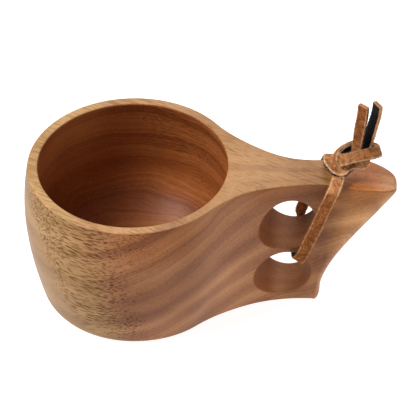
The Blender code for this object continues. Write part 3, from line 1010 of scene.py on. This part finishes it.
def add_light(name, place, size, power):
    """A square softbox that faces the cup."""
    data = bpy.data.lights.new(name, "AREA")
    data.size = size
    data.energy = power
    light = bpy.data.objects.new(name, data)
    light.location = place
    aim = LIGHTS_FACE - Vector(place)
    light.rotation_mode = "QUATERNION"
    light.rotation_quaternion = aim.to_track_quat("-Z", "Y")
    bpy.context.scene.collection.objects.link(light)


# ---------------------------------------------------------------- putting it together

# Where the lace goes, in mm, and the way its brown face looks there. It starts under the left
# end, makes a ring round the two ends, runs down the near side of the handle, through the
# lower hole, up the far side, round the front of the knot and ends under the right end.
MAIN_ROUTE = [
    # Under the left end, and round into the ring.
    ((94.0, 0.0, 75.0), (-0.5, -0.85, 0.0)),
    ((92.3, 1.0, 75.6), (0.0, 0.3, -0.9)),
    ((89.8, 1.2, 76.2), (0.1, 0.45, -0.85)),
    ((87.7, -1.0, 75.8), (-0.5, 0.3, -0.7)),
    ((86.9, -3.3, 75.9), (-0.9, -0.2, 0.0)),
    ((87.6, -5.0, 77.0), (-0.7, -0.5, 0.5)),
    # The ring's front, right turn and back.
    ((89.0, -5.7, 78.0), (-0.3, -0.6, 0.8)),
    ((92.0, -6.5, 79.8), (-0.1, -0.5, 0.9)),
    ((95.5, -7.0, 81.3), (0.0, -0.5, 0.9)),
    ((99.0, -6.5, 82.2), (0.1, -0.5, 0.85)),
    ((101.3, -4.5, 81.5), (0.35, -0.5, 0.8)),
    ((102.4, -1.5, 80.0), (0.9, -0.1, 0.4)),
    ((101.6, 2.5, 77.8), (0.7, 0.7, 0.2)),
    ((99.4, 5.0, 76.6), (0.2, 1.0, 0.1)),
    ((96.5, 6.0, 76.8), (0.0, 1.0, 0.3)),
    ((93.3, 5.5, 77.5), (-0.1, 0.9, 0.4)),
    ((91.0, 4.5, 78.0), (-0.1, 0.8, 0.55)),
    ((88.3, 3.0, 77.8), (-0.35, 0.6, 0.65)),
    ((86.0, 1.2, 76.4), (-0.7, 0.3, 0.6)),
    ((84.9, -1.0, 74.7), (-0.85, -0.1, 0.5)),
    # Under the front of the knot and down the near side of the handle.
    ((85.6, -2.4, 72.3), (-0.9, -0.35, 0.3)),
    ((86.6, -5.0, 69.9), (-0.5, -0.4, 0.8)),
    ((86.1, -8.5, 69.4), (-0.2, -0.6, 0.8)),
    ((85.4, -11.3, 68.8), (-0.2, -0.9, 0.4)),
    ((84.4, -12.2, 66.0), (-0.25, -0.97, 0.1)),
    ((81.1, -12.3, 56.0), (-0.25, -0.97, 0.0)),
    ((78.5, -12.3, 47.5), (-0.25, -0.97, 0.0)),
    ((75.2, -12.3, 38.0), (-0.25, -0.97, 0.0)),
    ((72.9, -12.6, 31.5), (-0.2, -0.97, -0.1)),
    # Through the lower hole.
    ((71.2, -12.6, 28.2), (-0.4, -0.8, -0.45)),
    ((70.2, -9.8, 26.3), (-0.55, -0.3, -0.8)),
    ((69.6, 0.0, 26.2), (-0.58, 0.0, -0.81)),
    ((69.6, 9.0, 26.0), (-0.6, 0.1, -0.8)),
    ((70.1, 12.9, 27.6), (-0.8, 0.2, -0.5)),
    # Up the far side, turned on edge.
    ((71.0, 14.2, 31.5), (-0.7, -0.6, -0.2)),
    ((74.4, 13.9, 43.0), (-0.55, -0.83, 0.0)),
    ((78.5, 13.4, 54.5), (-0.8, 0.5, 0.1)),
    ((81.2, 12.0, 62.3), (-0.3, 0.9, 0.2)),
    ((82.4, 10.8, 65.6), (-0.1, 0.8, 0.6)),
    ((82.6, 8.6, 67.6), (0.0, 0.4, 0.9)),
    # Over the handle, round the front of the knot, and under the right end.
    ((82.3, 5.0, 68.9), (0.0, 0.2, 1.0)),
    ((82.3, 0.5, 70.3), (0.2, 0.0, 0.95)),
    ((83.4, -2.8, 70.7), (0.4, 0.0, 0.9)),
    ((85.7, -5.0, 70.6), (0.15, 0.0, 1.0)),
    ((88.0, -5.5, 70.7), (-0.05, 0.0, 1.0)),
    ((89.8, -4.8, 72.5), (-0.2, -0.1, 1.0)),
    ((91.3, -4.3, 74.4), (-0.15, -0.5, 0.85)),
    ((93.5, -4.2, 75.2), (0.0, -0.7, 0.7)),
    ((95.8, -3.5, 74.3), (0.1, -0.8, 0.6)),
    ((97.0, -1.2, 74.3), (0.5, -0.6, 0.4)),
    ((97.9, 0.5, 74.8), (0.8, 0.2, 0.2)),
    ((97.5, 1.5, 77.0), (0.7, 0.7, 0.0)),
]
TAIL_ROUTES = {
    "tail_left": [
        ((93.3, 0.8, 72.8), (-0.7, -0.7, 0.0)),
        ((93.5, -0.9, 79.0), (-0.7, -0.7, 0.0)),
        ((93.9, -1.6, 86.5), (-0.66, -0.75, 0.0)),
        ((94.5, -1.6, 93.0), (-0.6, -0.8, 0.0)),
        ((95.1, -1.6, 99.0), (-0.62, -0.78, 0.0)),
        ((95.2, -1.5, 103.2), (-0.64, -0.77, 0.0)),
    ],
    "tail_right": [
        ((96.9, 1.2, 71.8), (0.7, 0.7, 0.0)),
        ((97.3, 1.5, 79.0), (0.7, 0.7, 0.0)),
        ((98.2, 1.6, 84.5), (0.7, 0.7, 0.0)),
        ((99.4, 1.6, 90.7), (0.77, 0.63, 0.0)),
        ((100.6, 1.6, 97.0), (0.80, 0.60, 0.0)),
        ((101.0, 1.5, 102.0), (0.80, 0.60, 0.0)),
    ],
}


def add_lace():
    materials = [suede(name, *facts) for name, facts in SUEDES.items()]
    lace, line, length = strap("suede_lace", MAIN_ROUTE, materials, seed=1.0)
    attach(lace, "lace")
    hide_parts("lace_loop", "lace_knot")
    for k, (body, stops) in enumerate(TAIL_ROUTES.items()):
        tail, line, length = strap("suede_" + body, stops, materials, seed=11.0 + 5.0 * k)
        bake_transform(tail)
        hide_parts("lace_" + body)


def add_wood():
    body = carved_block()
    holes = [hole_cutter(name, centre) for name, centre in HOLES.items()]
    carve(body, [hollow_cutter(), *holes])
    body.data.materials.clear()
    body.data.materials.append(wood())
    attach(body, "cup")
    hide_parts("cup_body")


add_camera()
add_lace()
add_wood()
add_stage()
for light_name, facts in LIGHTS.items():
    add_light(light_name, *facts)
